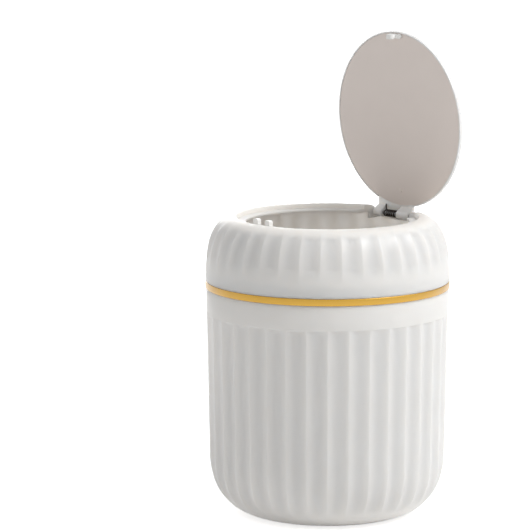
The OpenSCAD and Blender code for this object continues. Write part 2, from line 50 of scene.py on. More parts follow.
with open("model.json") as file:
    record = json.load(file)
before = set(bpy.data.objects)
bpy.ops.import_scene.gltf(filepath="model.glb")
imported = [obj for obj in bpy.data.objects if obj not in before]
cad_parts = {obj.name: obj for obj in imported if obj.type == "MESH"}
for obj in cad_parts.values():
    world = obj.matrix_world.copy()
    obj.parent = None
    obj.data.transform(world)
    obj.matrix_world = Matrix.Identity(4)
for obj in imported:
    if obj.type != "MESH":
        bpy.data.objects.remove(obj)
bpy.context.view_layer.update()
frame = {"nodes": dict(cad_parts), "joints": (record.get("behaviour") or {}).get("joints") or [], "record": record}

MM = 0.001
UP = Vector((0, 0, 1))

# ---------------------------------------------------------------- places that the frame gives

lid_joint = next(joint for joint in frame["joints"] if joint["name"] == "lid_hinge")
pin_line = Vector(lid_joint["pos_m"])
open_angle = -math.radians(lid_joint["range_deg"][0])
parting_z, ring_top_z = (corner.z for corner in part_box("gold_ring"))
lip_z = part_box("collar")[1].z
bin_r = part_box("collar")[1].x
ring_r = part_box("gold_ring")[1].x
lid_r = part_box("lid_cap")[1].x


def millimetres(value, name, description):
    """A length property, given in millimetres and kept in metres."""
    return bpy.props.FloatProperty(
        name=name, description=description, default=value * MM, min=0, unit="LENGTH", precision=5)


def shade(value, name, description):
    """A colour property, written as sRGB hex."""
    return bpy.props.StringProperty(name=name, description=description, default=value)


class BinShellSizes(bpy.types.PropertyGroup):
    """Sizes of the bucket, the ring and the collar."""

    foot_d: millimetres(77, "Foot", "Diameter of the flat foot")
    foot_ring: millimetres(3.5, "Foot ring", "Width of the ring that stands on the table")
    foot_recess: millimetres(1.2, "Foot recess", "Depth of the hollow under the foot")
    belly_h: millimetres(33.5, "Belly", "Height of the rounded bottom")
    belly_power: bpy.props.FloatProperty(
        name="Belly power", description="How square the rounded bottom is, 2 is an ellipse",
        default=2.1, min=1.5)
    bucket_step: millimetres(0.3, "Bucket step", "How far the bucket's wall stands in from the collar's")
    draft: millimetres(1.8, "Draft", "How much the wall leans out, per side")
    wall: millimetres(2, "Wall", "Thickness of the moulded walls")
    neck_h: millimetres(10.5, "Neck", "Height of the neck that the collar slips over")
    neck_wall: millimetres(1.6, "Neck wall", "Thickness of the neck")
    neck_gap: millimetres(0.3, "Neck gap", "Clearance between the neck and what slips over it")
    flutes: bpy.props.IntProperty(
        name="Flutes", description="Number of flutes round the bin", default=36, min=12, max=60)
    flute_depth: millimetres(0.9, "Flute depth", "Depth of a flute at its middle")
    ridge_round: bpy.props.FloatProperty(
        name="Ridge rounding", description="How softly the flutes meet at their ridges, 0 is a crease",
        default=0.22, min=0.0, max=1.0)
    flute_end: millimetres(4, "Flute end", "Length of the rounded end of a flute")
    bucket_turn: bpy.props.FloatProperty(
        name="Bucket turn", description="Turn of the bucket's flutes against the collar's",
        default=math.radians(3.4), subtype="ANGLE")
    foot_band: millimetres(7, "Foot band", "Height where the bucket's flutes run out")
    bucket_band: millimetres(14.2, "Bucket band", "Smooth band between the bucket's flutes and the ring")
    collar_band: millimetres(8, "Collar band", "Smooth band between the ring and the collar's flutes")
    collar_run: millimetres(8, "Collar run", "Length over which the collar's flutes run in above that band")
    lip_band: millimetres(5, "Lip band", "Smooth band between the collar's flutes and the lip")
    collar_fade: millimetres(9, "Collar fade", "Length over which the collar's flutes fade towards that band")
    shoulder_h: millimetres(31.4, "Shoulder height", "Height of the curved shoulder")
    shoulder_w: millimetres(17.3, "Shoulder width", "How far the shoulder comes in to the lip")
    shoulder_power: bpy.props.FloatProperty(
        name="Shoulder power", description="How square the shoulder is, 2 is an ellipse",
        default=2.39, min=1.5)
    lip_round: millimetres(0.7, "Lip round", "Rounding of the lip into the seat")
    seat_depth: millimetres(2.6, "Seat", "Depth of the lid's seat below the crest")
    ledge_w: millimetres(5.2, "Ledge", "Width of the ledge under the lid")


class BinLidSizes(bpy.types.PropertyGroup):
    """Sizes of the lid, the hinge and its spring."""

    rest_gap: millimetres(0.3, "Rest gap", "Clearance between the closed lid and the ledge")
    edge_h: millimetres(2.5, "Edge", "Height of the lid's edge")
    crown: millimetres(2.7, "Crown", "Rise of the lid's dome above its edge")
    skin: millimetres(1.5, "Skin", "Thickness of the lid's top skin")
    rim_w: millimetres(0.85, "Rim", "Width of the lid's rim round the inner panel")
    panel_t: millimetres(1.4, "Panel", "Thickness of the inner panel")
    border: millimetres(6, "Border", "Width of the dished border of the inner panel")
    dish: millimetres(0.35, "Dish", "Rise of the dished border")
    barrel_d: millimetres(5.2, "Barrel", "Diameter of the hinge barrels")
    left_arm_w: millimetres(6.5, "Left arm", "Width of the lid's left arm")
    right_arm_w: millimetres(9.6, "Right arm", "Width of the lid's right arm")
    coil_room: millimetres(13, "Coil room", "Room that the spring has along the pin")
    knuckle_x: millimetres(11.4, "Knuckle place", "Where the collar's knuckle starts along the pin")
    knuckle_w: millimetres(10.6, "Knuckle", "Width of the collar's knuckle")
    knuckle_gap: millimetres(1.8, "Knuckle gap", "Gap between the right arm and the knuckle")
    side_play: millimetres(0.4, "Side play", "Clearance between the knuckle's end and the well's side")
    coil_wire: millimetres(0.8, "Wire", "Thickness of the torsion spring's wire")
    coil_turns: bpy.props.IntProperty(
        name="Turns", description="Turns of the torsion spring", default=6, min=3, max=8)


class BinColours(bpy.types.PropertyGroup):
    """Colours of the finishes, as sRGB hex."""

    body: shade("#F5F0EA", "Body", "White of the bucket and the collar")
    lid: shade("#F3F2F0", "Lid", "White of the lid's outside")
    liner: shade("#EFE4DD", "Liner", "Warm white of the lid's inside")
    gold: shade("#C19632", "Gold", "Colour of the plated ring")
    latch: shade("#F6F6F4", "Latch", "White of the latch")
    pin: shade("#B9BBBE", "Pin", "Drawn steel of the pin and the follower")
    spring: shade("#3B3632", "Spring", "Oiled steel of the springs")
    floor: shade("#F0F0F0", "Floor", "What the floor gives back to the bin from below")


# ---------------------------------------------------------------- materials


def linear(hex_colour):
    """An sRGB hex colour as the linear colour that a shader takes."""
    channels = [int(hex_colour[i : i + 2], 16) / 255 for i in (1, 3, 5)]
    curve = [c / 12.92 if c <= 0.04045 else ((c + 0.055) / 1.055) ** 2.4 for c in channels]
    return (*curve, 1.0)


def tinted(colour, factor):
    """A linear colour made lighter or darker."""
    return (*[min(1.0, c * factor) for c in colour[:3]], 1.0)


def add_node(tree, kind, values=None, **settings):
    """Adds a node with its settings, and with a value or a link for each input named in values."""
    node = tree.nodes.new(kind)
    for name, setting in settings.items():
        setattr(node, name, setting)
    for name, value in (values or {}).items():
        if isinstance(value, bpy.types.NodeSocket):
            tree.links.new(value, node.inputs[name])
        else:
            node.inputs[name].default_value = value
    return node


def bare_tree(owner):
    """The empty node tree of a new material or of the world."""
    owner.use_nodes = True
    owner.node_tree.nodes.clear()
    return owner.node_tree


def worked_surface(name, colour, cloud, gloss, cloud_size, grain, same, run=(1.0, 1.0, 1.0)):
    """A finish with soft clouds in its colour and its gloss, and a finer grain in its surface.

    cloud is how light the clouds are against the colour, and gloss the roughness outside and inside them.
    grain holds the grain's size, strength, depth and detail. run stretches both patterns, and same holds
    what the shader has all over.
    """
    material = bpy.data.materials.new(name)
    tree = bare_tree(material)
    grain_size, strength, depth, detail = grain
    place = add_node(tree, "ShaderNodeTexCoord").outputs["Object"]
    drawn = add_node(tree, "ShaderNodeMapping", {"Vector": place, "Scale": run}).outputs["Vector"]
    patterns = [
        {"Vector": drawn, "Scale": 1 / size, "Detail": rich}
        for size, rich in ((cloud_size, 2.0), (grain_size, detail))]
    clouds, fine = [add_node(tree, "ShaderNodeTexNoise", pattern).outputs["Fac"] for pattern in patterns]
    base = linear(colour)
    tones = {"Factor": clouds, 6: base, 7: tinted(base, cloud)}
    levels = {"Value": clouds, "From Min": 0.3, "From Max": 0.7, "To Min": gloss[0], "To Max": gloss[1]}
    relief = {"Height": fine, "Strength": strength, "Distance": depth}
    looks = {
        "Base Color": add_node(tree, "ShaderNodeMix", tones, data_type="RGBA").outputs[2],
        "Roughness": add_node(tree, "ShaderNodeMapRange", levels).outputs["Result"],
        "Normal": add_node(tree, "ShaderNodeBump", relief).outputs["Normal"],
    }
    shader = add_node(tree, "ShaderNodeBsdfPrincipled", {**looks, **same})
    add_node(tree, "ShaderNodeOutputMaterial", {"Surface": shader.outputs["BSDF"]})
    return material


def moulded_plastic(name, colour, gloss, flow, grain_size, grain_depth, light, cloud=0.985):
    """Injection-moulded plastic: flow clouds in colour and gloss, and the mould's texture in the surface."""
    return worked_surface(
        name, colour, cloud, gloss=(gloss, gloss + 0.06), cloud_size=flow,
        grain=(grain_size, 0.5, grain_depth, 3.0), same={"IOR": 1.5, **light})


def light_goes_in(weight, depths):
    """Light goes a little way into the plastic, and comes out beside where it went in or behind the wall."""
    return {"Subsurface Weight": weight, "Subsurface Radius": depths, "Subsurface Scale": 1.0}


def satin_abs(colours):
    """ABS moulded in a spark-eroded tool: a soft sheen, a grain that only a close look shows, and walls of
    2 mm that daylight shines through, so that the empty inside glows.

    The tool's grain is near 0.1 mm, and is drawn at 0.7 mm so that it shows at all.
    """
    return moulded_plastic(
        "moulded_abs_satin", colours.body, gloss=0.4, flow=40 * MM, grain_size=0.7 * MM,
        grain_depth=0.006 * MM, light=light_goes_in(1.0, (5.5 * MM, 5.2 * MM, 4.9 * MM)))


def gloss_abs(colours):
    """ABS moulded in a polished tool: a clear shine with a long, faint ripple from the flow."""
    return moulded_plastic(
        "moulded_abs_polished", colours.lid, gloss=0.2, flow=30 * MM, grain_size=9 * MM,
        grain_depth=0.02 * MM, light=light_goes_in(0.7, (1.6 * MM, 1.5 * MM, 1.4 * MM)))


def liner_abs(colours):
    """The lid's inside, moulded half gloss, with the clouds of plastic that has flowed from the middle."""
    return moulded_plastic(
        "moulded_abs_half_gloss", colours.liner, gloss=0.3, flow=18 * MM, grain_size=1.2 * MM,
        grain_depth=0.006 * MM, light={}, cloud=0.96)


def latch_pom(colours):
    """Moulded POM, the slippery plastic of latches: milky white and waxy, with next to no grain."""
    return moulded_plastic(
        "moulded_pom", colours.latch, gloss=0.3, flow=6 * MM, grain_size=0.8 * MM,
        grain_depth=0.004 * MM, light=light_goes_in(0.15, (0.6 * MM, 0.6 * MM, 0.6 * MM)))


def plated_gold(colours):
    """Vacuum-plated gold under a clear lacquer: a soft metal sheen with the lacquer's own shine on top."""
    return worked_surface(
        "vacuum_plated_gold", colours.gold, cloud=0.93, gloss=(0.4, 0.48), cloud_size=12 * MM,
        grain=(0.6 * MM, 0.3, 0.004 * MM, 3.0),
        same={"Metallic": 1.0, "Coat Weight": 0.8, "Coat Roughness": 0.25})


def drawn_steel(name, colour, gloss, run):
    """Steel drawn through a die: fine lines in the colour, the gloss and the surface.

    A die's lines are near 0.05 mm, and are drawn 0.25 mm apart so that they show at all.
    """
    line = 0.25 * MM
    return worked_surface(
        name, colour, cloud=0.7, gloss=(gloss, gloss + 0.12), cloud_size=line,
        grain=(line, 0.3, 0.006 * MM, 2.0), same={"Metallic": 1.0}, run=run)


def bright_pin(colours):
    """Bright drawn steel: the pin and the follower, with the lines along the pin."""
    return drawn_steel("drawn_steel_bright", colours.pin, gloss=0.22, run=(0.05, 1.0, 1.0))


def spring_wire(colours):
    """Hard-drawn spring wire, dark with oil, in which the lines are no more than specks."""
    return drawn_steel("spring_wire_oiled", colours.spring, gloss=0.3, run=(1.0, 1.0, 1.0))


FINISHES = {
    "white_body": satin_abs,
    "white_lid": gloss_abs,
    "lid_inner": liner_abs,
    "plated_gold": plated_gold,
    "latch_plastic": latch_pom,
    "pin_steel": bright_pin,
    "spring_steel": spring_wire,
}
made_finishes = {}


def finish_of(slot):
    """The material of one of the record's slots, made once."""
    if slot not in made_finishes:
        made_finishes[slot] = FINISHES[slot](bpy.context.scene.bin_colours)
    return made_finishes[slot]


# ---------------------------------------------------------------- profiles

# A station of a profile: radius, height, outward direction (radial, vertical) and the flutes' depth there
Station = namedtuple("Station", "r z out depth")


def plain(r, z):
    """A station with no flute."""
    return Station(r, z, (1.0, 0.0), 0.0)


def inset(station, depth):
    """The point under a station, inside the wall."""
    return plain(station.r - depth * station.out[0], station.z - depth * station.out[1])


def unit(radial, vertical):
    """A direction of length 1."""
    length = math.hypot(radial, vertical)
    return radial / length, vertical / length


def smooth(x):
    """An even ramp from 0 to 1."""
    x = min(1.0, max(0.0, x))
    return x * x * (3 - 2 * x)


def round_end(x):
    """A quarter circle from 0 to 1, as a round cutter leaves the end of a flute."""
    x = min(1.0, max(0.0, x))
    return math.sqrt(x * (2 - x))


def run_in(x):
    """A soft start from 0 and a crease at 1."""
    return min(1.0, max(0.0, x)) ** 1.4


def steps(low, high, count):
    """Values from low to high, both included."""
    return [low + (high - low) * i / count for i in range(count + 1)]


def fillet(r, z, radius, start, turn, count=3):
    """Stations round a corner: a quarter circle about (r, z) that starts at an angle in degrees."""
    angles = [math.radians(start + turn * i / count) for i in range(count + 1)]
    return [plain(r + radius * math.cos(a), z + radius * math.sin(a)) for a in angles]


def arm_places(s):
    """Where the lid's left and right arms start along the pin."""
    right = s.knuckle_x - s.knuckle_gap - s.right_arm_w
    return right - s.coil_room - s.left_arm_w, right


def belly_station(s, t):
    """The rounded bottom, from the foot at t = 0 to the wall at t = 90 degrees."""
    low_r = bin_r - s.bucket_step - s.draft
    width = low_r - s.foot_d / 2
    across = math.sin(t) ** (2 / s.belly_power)
    down = math.cos(t) ** (2 / s.belly_power)
    out = unit(across ** (s.belly_power - 1) / width, -(down ** (s.belly_power - 1)) / s.belly_h)
    z = s.belly_h * (1 - down)
    return Station(
        s.foot_d / 2 + width * across, z, out, s.flute_depth * smooth((z - s.foot_band) / (2 * s.flute_end)))


def wall_station(s, z):
    """The bucket's leaning wall, whose flutes end under the smooth band."""
    top_r = bin_r - s.bucket_step
    slope = s.draft / (parting_z - s.belly_h)
    fade = round_end((parting_z - s.bucket_band - z) / s.flute_end)
    return Station(top_r - slope * (parting_z - z), z, unit(1, -slope), s.flute_depth * fade)


def shoulder_station(s, t):
    """The collar's shoulder, from its foot at t = 0 to the crest of the lip at t = 90 degrees."""
    across = math.cos(t) ** (2 / s.shoulder_power)
    rise = math.sin(t) ** (2 / s.shoulder_power)
    out = unit(across ** (s.shoulder_power - 1) / s.shoulder_w, rise ** (s.shoulder_power - 1) / s.shoulder_h)
    r = bin_r - s.shoulder_w + s.shoulder_w * across
    z = lip_z - s.shoulder_h + s.shoulder_h * rise
    low_end = run_in((z - ring_top_z - s.collar_band) / s.collar_run)
    high_end = smooth((r - (bin_r - s.shoulder_w) - s.lip_band) / s.collar_fade)
    return Station(r, z, out, s.flute_depth * min(low_end, high_end))


# ---------------------------------------------------------------- mesh building

FLUTE_COLUMNS = 12
ROUND_COLUMNS = 256
SHARP = math.radians(38)
ROUNDED_FROM = math.radians(40)
MERGE = 1e-7
MERGE_CUT = 1e-6
BORE_R = 1.05 * MM


def revolve(stations, columns, closed=True):
    """A full turn of a profile round the upright axis. Points keep their direction and flute depth."""
    bm = bmesh.new()
    depth = bm.verts.layers.float.new("depth")
    out = bm.verts.layers.float_vector.new("out")
    profile = []
    for station in stations:
        vert = bm.verts.new((station.r, 0, station.z))
        vert[depth] = station.depth
        vert[out] = (station.out[0], 0, station.out[1])
        profile.append(vert)
    ends = zip(profile, profile[1:] + profile[:1]) if closed else zip(profile, profile[1:])
    edges = [bm.edges.new(pair) for pair in ends]
    bmesh.ops.spin(
        bm, geom=profile + edges, cent=(0, 0, 0), axis=UP, angle=math.tau, steps=columns, use_merge=True)
    bmesh.ops.remove_doubles(bm, verts=bm.verts, dist=MERGE)
    bmesh.ops.recalc_face_normals(bm, faces=bm.faces)
    return bm


def cut_flutes(bm, flutes, turn, ridge_round):
    """Draws the columns of a revolved shell close to the ridges, and sinks the flutes between them."""
    depth = bm.verts.layers.float["depth"]
    out = bm.verts.layers.float_vector["out"]
    pitch = math.tau / flutes
    for vert in bm.verts:
        radius = math.hypot(vert.co.x, vert.co.y)
        if radius < MERGE:
            continue
        flute, part = divmod(math.atan2(vert.co.y, vert.co.x) / pitch, 1)
        across = math.sin(math.pi * (part - 0.5))
        angle = turn + pitch * (flute + (1 + across) / 2)
        radial = Vector((math.cos(angle), math.sin(angle), 0))
        scallop = 1 - across * across
        sunk = vert[depth] * scallop * scallop * (1 + ridge_round) / (scallop + ridge_round + MERGE)
        radius -= sunk * vert[out][0]
        vert.co = radial * radius + UP * (vert.co.z - sunk * vert[out][2])


def new_object(name, bm):
    """An object in the scene that takes over a bmesh."""
    mesh = bpy.data.meshes.new(name)
    bm.to_mesh(mesh)
    bm.free()
    holder = bpy.data.objects.new(name, mesh)
    bpy.context.scene.collection.objects.link(holder)
    return holder


def combined(base, *others):
    """One bmesh from several: each other one is given with UNION, DIFFERENCE or INTERSECT."""
    target = new_object("scratch", base)
    scratches = [target]
    for operation, other in others:
        tool = new_object("scratch", other)
        modifier = target.modifiers.new(operation, "BOOLEAN")
        modifier.operation = operation
        modifier.solver = "MANIFOLD"
        modifier.object = tool
        scratches.append(tool)
    graph = bpy.context.evaluated_depsgraph_get()
    result = bmesh.new()
    result.from_mesh(target.evaluated_get(graph).to_mesh())
    if not result.faces:
        raise RuntimeError("a boolean left nothing")
    for scratch in scratches:
        mesh = scratch.data
        bpy.data.objects.remove(scratch)
        bpy.data.meshes.remove(mesh)
    return result


def block(low, high, soften=0.0):
    """A box between two corners, with its edges rounded where soften is given."""
    low, high = Vector(low), Vector(high)
    size = high - low
    place = Matrix.Translation((low + high) / 2) @ Matrix.Diagonal((*size, 1))
    bm = bmesh.new()
    bmesh.ops.create_cube(bm, size=1, matrix=place)
    if soften:
        round_edges(bm, bm.edges[:], soften, 3)
    return bm


def rod(start, end, radius, segments=48, soften=0.0):
    """A round bar between two points, with its ends rounded where soften is given."""
    start, end = Vector(start), Vector(end)
    along = end - start
    turned = along.to_track_quat("Z", "Y").to_matrix().to_4x4()
    bm = bmesh.new()
    bmesh.ops.create_cone(
        bm, cap_ends=True, segments=segments, radius1=radius, radius2=radius, depth=along.length,
        matrix=Matrix.Translation((start + end) / 2) @ turned)
    if soften:
        ends = [edge for edge in bm.edges if edge.calc_face_angle() > math.radians(60)]
        round_edges(bm, ends, soften, 3)
    return bm


def round_edges(bm, edges, width, segments=2):
    """Rounds edges with an even bevel."""
    bmesh.ops.bevel(
        bm, geom=edges, offset=width, offset_type="OFFSET", segments=segments, profile=0.5, affect="EDGES",
        clamp_overlap=True, material=-1)


def sharp_edges(bm):
    """The edges whose faces meet sharply enough to be rounded."""
    return [edge for edge in bm.edges if edge.is_manifold and edge.calc_face_angle() > ROUNDED_FROM]


def slab(points, x, width):
    """A side view, given as (y, z) points, drawn out along the pin's line."""
    bm = bmesh.new()
    face = bm.faces.new([bm.verts.new((x, y, z)) for y, z in points])
    drawn = bmesh.ops.extrude_face_region(bm, geom=[face])["geom"]
    bmesh.ops.translate(bm, verts=[v for v in drawn if isinstance(v, bmesh.types.BMVert)], vec=(width, 0, 0))
    bmesh.ops.recalc_face_normals(bm, faces=bm.faces)
    return bm


def swing_open(bm):
    """Turns what is drawn closed to where the spring holds the lid."""
    bmesh.ops.rotate(bm, verts=bm.verts, cent=pin_line, matrix=Matrix.Rotation(-open_angle, 3, "X"))


def wire_mesh(points, thickness, sides=4):
    """A round wire along a path, as a mesh."""
    curve = bpy.data.curves.new("scratch", "CURVE")
    curve.dimensions = "3D"
    curve.bevel_depth = thickness / 2
    curve.bevel_resolution = sides
    curve.use_fill_caps = True
    spline = curve.splines.new("NURBS")
    spline.points.add(len(points) - 1)
    for point, place in zip(spline.points, points):
        point.co = (*place, 1)
    spline.order_u = 3
    spline.resolution_u = 2
    spline.use_endpoint_u = True
    scratch = bpy.data.objects.new("scratch", curve)
    bpy.context.scene.collection.objects.link(scratch)
    graph = bpy.context.evaluated_depsgraph_get()
    bm = bmesh.new()
    bm.from_mesh(scratch.evaluated_get(graph).to_mesh())
    bpy.data.objects.remove(scratch)
    bpy.data.curves.remove(curve)
    return bm


def place_piece(name, bm, body, slot, stands_for=(), clean=MERGE):
    """Makes a finished piece of a bmesh: smooth faces, crisp corners, its material and its body."""
    bmesh.ops.remove_doubles(bm, verts=bm.verts, dist=clean)
    bmesh.ops.recalc_face_normals(bm, faces=bm.faces)
    for face in bm.faces:
        face.smooth = True
    for edge in bm.edges:
        edge.smooth = edge.is_manifold and edge.calc_face_angle() < SHARP
    piece = new_object(name, bm)
    piece.data.materials.append(finish_of(slot))
    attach(piece, body)
    if stands_for:
        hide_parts(*stands_for)
    return piece


# ---------------------------------------------------------------- operators


class PieceOperator:
    """What the operators share."""

    bl_options = {"REGISTER", "UNDO"}


class BIN_OT_bucket(PieceOperator, bpy.types.Operator):
    """Models the fluted bucket with its rounded bottom and its neck"""

    bl_idname = "bin.bucket"
    bl_label = "Bucket"

    def execute(self, context):
        s = context.scene.bin_shell
        foot_r = s.foot_d / 2
        ring_in = foot_r - s.foot_ring
        edge = 0.35 * MM
        top_r = bin_r - s.bucket_step
        neck_r = bin_r - s.wall - s.neck_gap
        neck_in = neck_r - s.neck_wall
        neck_top = parting_z + s.neck_h
        foot_angle = 6
        belly = [belly_station(s, math.radians(t)) for t in steps(foot_angle, 90, 24)]
        fade_z = parting_z - s.bucket_band
        above_belly = 14 * MM
        wall = [wall_station(s, z) for z in steps(s.belly_h + above_belly, fade_z - s.flute_end, 4)]
        end = [wall_station(s, fade_z - s.flute_end * (1 - u) ** 2) for u in steps(0, 1, 10)[1:]]
        support = [wall_station(s, fade_z + 0.1 * MM), wall_station(s, fade_z + 2 * MM)]
        outside = belly + wall + end + support
        shelf_z = parting_z - s.wall
        under_neck = top_r - s.wall
        inside = [inset(station, s.wall) for station in outside[::2]]
        floor_z = s.foot_recess + s.wall
        stations = (
            [plain(0, s.foot_recess), plain(ring_in - s.foot_recess, s.foot_recess)]
            + fillet(ring_in + edge, edge, edge, 225, 45, 2)
            + [plain(foot_r - edge, 0)]
            + outside
            + [plain(top_r, parting_z - edge), plain(top_r - edge / 3, parting_z - edge / 3)]
            + [plain(top_r - edge, parting_z), plain(neck_r, parting_z)]
            + [plain(neck_r, neck_top - edge), plain(neck_r - edge, neck_top)]
            + [plain(neck_in + edge, neck_top), plain(neck_in, neck_top - edge)]
            + [plain(neck_in, shelf_z), plain(under_neck, shelf_z - (under_neck - neck_in))]
            + inside[::-1]
            + [plain(foot_r - s.wall, floor_z), plain(0, floor_z)]
        )
        bm = revolve(stations, s.flutes * FLUTE_COLUMNS, closed=False)
        cut_flutes(bm, s.flutes, math.pi / s.flutes + s.bucket_turn, s.ridge_round)
        place_piece("bucket_shell", bm, "bucket", "white_body", ["bucket"])
        return {"FINISHED"}


class BIN_OT_ring(PieceOperator, bpy.types.Operator):
    """Models the plated ring, slightly crowned, with rounded edges"""

    bl_idname = "bin.ring"
    bl_label = "Ring"

    def execute(self, context):
        s = context.scene.bin_shell
        inner = bin_r - s.wall - s.neck_gap / 2
        edge = 0.45 * MM
        crown = 0.08 * MM
        middle = (parting_z + ring_top_z) / 2
        half = (ring_top_z - parting_z) / 2 - edge
        face = [plain(ring_r - crown * (u * u), middle + half * u) for u in steps(-1, 1, 6)]
        stations = (
            [plain(inner, parting_z)]
            + fillet(ring_r - crown - edge, parting_z + edge, edge, -90, 90, 4)
            + face[1:-1]
            + fillet(ring_r - crown - edge, ring_top_z - edge, edge, 0, 90, 4)
            + [plain(inner, ring_top_z)]
        )
        place_piece("gold_band", revolve(stations, 288), "bucket", "plated_gold", ["gold_ring"])
        return {"FINISHED"}


class BIN_OT_collar(PieceOperator, bpy.types.Operator):
    """Models the fluted collar with the lid's seat, the hinge well, its knuckle and the latch pocket"""

    bl_idname = "bin.collar"
    bl_label = "Collar"

    def execute(self, context):
        s = context.scene.bin_shell
        lid = context.scene.bin_lid
        crest_r = bin_r - s.shoulder_w
        seat_r = crest_r - s.lip_round
        mouth_r = seat_r - s.ledge_w
        ledge_z = lip_z - s.seat_depth
        under_z = ledge_z - s.wall
        shell = combined(
            self.shell(s, crest_r, seat_r, mouth_r, ledge_z),
            ("UNION", self.well_walls(s, lid, seat_r, ledge_z)),
            ("UNION", self.pocket(under_z)),
            ("DIFFERENCE", self.well(lid, mouth_r)),
            ("UNION", self.knuckle(lid)),
            ("DIFFERENCE", self.slot(ledge_z)),
            ("DIFFERENCE", self.bore(lid)),
        )
        place_piece("collar_shell", shell, "collar", "white_body", ["collar"], clean=MERGE_CUT)
        return {"FINISHED"}

    def shell(self, s, crest_r, seat_r, mouth_r, ledge_z):
        """The fluted skin with the lip, the seat and the ledge."""
        edge = 0.3 * MM
        ledge_edge = 0.5 * MM
        ledge_under = 1.1 * MM
        shoulder_z = lip_z - s.shoulder_h
        flute_z = ring_top_z + s.collar_band
        support = 0.12 * MM
        # The inside follows this many of the outside's stations, up to under the ledge
        followed = 32

        def turn_at(z):
            return math.asin(((z - shoulder_z) / s.shoulder_h) ** (s.shoulder_power / 2))

        full = turn_at(flute_z + s.collar_run)
        last = math.acos((s.lip_band / s.shoulder_w) ** (s.shoulder_power / 2))
        turns = (
            [turn_at(z) for z in steps(flute_z, flute_z + s.collar_run - support, 12)]
            + [full, turn_at(flute_z + s.collar_run + support)]
            + steps(full, last, 26)[1:]
            + steps(last, math.pi / 2, 9)[1:]
        )
        outside = [shoulder_station(s, t) for t in turns]
        inside = [inset(station, s.wall) for station in outside[:followed:2]]
        lip = [
            plain(crest_r - s.lip_round * math.sin(a), lip_z - s.lip_round * (1 - math.cos(a)))
            for a in steps(0, math.pi / 2, 6)[1:]
        ]
        ledge = [plain(seat_r, ledge_z + edge), plain(seat_r - edge, ledge_z)]
        mouth = fillet(mouth_r + ledge_edge, ledge_z - ledge_edge, ledge_edge, 90, 90, 4)
        mouth += fillet(mouth_r + ledge_under, ledge_z - s.wall + ledge_under, ledge_under, 180, 90, 6)
        stations = (
            [plain(bin_r - edge, ring_top_z), plain(bin_r, ring_top_z + edge)]
            + [plain(bin_r, shoulder_z - MM), plain(bin_r, flute_z - MM)]
            + outside
            + lip
            + ledge
            + mouth
            + [plain(inside[-1].r - MM, ledge_z - s.wall)]
            + inside[::-1]
            + [plain(bin_r - s.wall, ring_top_z)]
        )
        bm = revolve(stations, s.flutes * FLUTE_COLUMNS)
        cut_flutes(bm, s.flutes, math.pi / s.flutes, s.ridge_round)
        return bm

    def well_walls(self, s, lid, seat_r, ledge_z):
        """The walls of the hinge well, which stay inside the shoulder's skin and under the ledge."""
        skin = 0.7 * s.wall
        core = [plain(0, lip_z - s.shoulder_h)]
        core += [inset(shoulder_station(s, t), skin) for t in steps(0.05, math.pi / 2, 16)]
        core += [plain(0, lip_z - skin)]
        wall, below_pin, behind_seat = 1.6 * MM, 4 * MM, 0.4 * MM
        left, right, back = self.well_sides(lid)
        low = (left - wall, seat_r, pin_line.z - below_pin)
        high = (right + wall, back + wall, lip_z)
        trim = rod((0, 0, ledge_z - MM), (0, 0, lip_z + MM), seat_r + behind_seat, 128)
        return combined(
            block(low, high), ("INTERSECT", revolve(core, 144, closed=False)), ("DIFFERENCE", trim))

    def well(self, lid, mouth_r):
        """What the hinge well takes away, with rounded corners."""
        past_mouth, below_pin, past_lip = 6 * MM, 5 * MM, 8 * MM
        left, right, back = self.well_sides(lid)
        low = (left, mouth_r - past_mouth, pin_line.z - below_pin)
        high = (right, back, lip_z + past_lip)
        return block(low, high, soften=0.5 * MM)

    def well_sides(self, lid):
        """Where the well's left, right and back walls are. The open lid's arms come to the back one."""
        beside_arm, behind_pin = 1.6 * MM, 4.5 * MM
        right = lid.knuckle_x + lid.knuckle_w + lid.side_play
        return arm_places(lid)[0] - beside_arm, right, pin_line.y + behind_pin

    def knuckle(self, lid):
        """The barrel that holds the pin, with its foot and its rounded end."""
        r = lid.barrel_d / 2
        right, back = self.well_sides(lid)[1:]
        end_x = right - r + MM
        barrel = rod((lid.knuckle_x, *pin_line.yz), (end_x, *pin_line.yz), r, 64)
        cap = bmesh.new()
        bmesh.ops.create_uvsphere(
            cap, u_segments=64, v_segments=24, radius=r,
            matrix=Matrix.Translation((end_x, *pin_line.yz)) @ Matrix.Rotation(math.pi / 2, 4, "Y"))
        foot_bottom, foot_top = pin_line.z - 3.2 * MM, pin_line.z - 0.4 * MM
        into_side, into_back = 0.5 * MM, 0.8 * MM
        foot_low = (lid.knuckle_x, pin_line.y, foot_bottom)
        foot_high = (right + into_side, back + into_back, foot_top)
        return combined(barrel, ("UNION", cap), ("UNION", block(foot_low, foot_high)))

    def bore(self, lid):
        """The pin's hole, which stops short of the well's right wall."""
        short_by = 0.2 * MM
        left, right = self.well_sides(lid)[:2]
        return rod((left - MM, *pin_line.yz), (right - short_by, *pin_line.yz), BORE_R)

    def pocket(self, under_z):
        """The socket under the ledge that holds the latch."""
        low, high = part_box("latch_housing")
        play = 0.2 * MM
        wall = 1.3 * MM
        snap = 1.2 * MM
        side_lip = 0.7 * MM
        outer_low = (low.x - play - wall, low.y - play - wall, low.z - snap)
        outer_high = (high.x + play + wall, high.y + play + wall, under_z + MM)
        inner_low = (low.x - play, low.y - play, low.z - play)
        inner_high = (high.x + play, high.y + play, under_z)
        window_low = (low.x + side_lip, low.y - play, low.z - snap - MM)
        window_high = (high.x - side_lip, high.y + play, low.z + play)
        return combined(
            block(outer_low, outer_high, soften=0.3 * MM),
            ("DIFFERENCE", block(inner_low, inner_high)),
            ("DIFFERENCE", block(window_low, window_high)),
        )

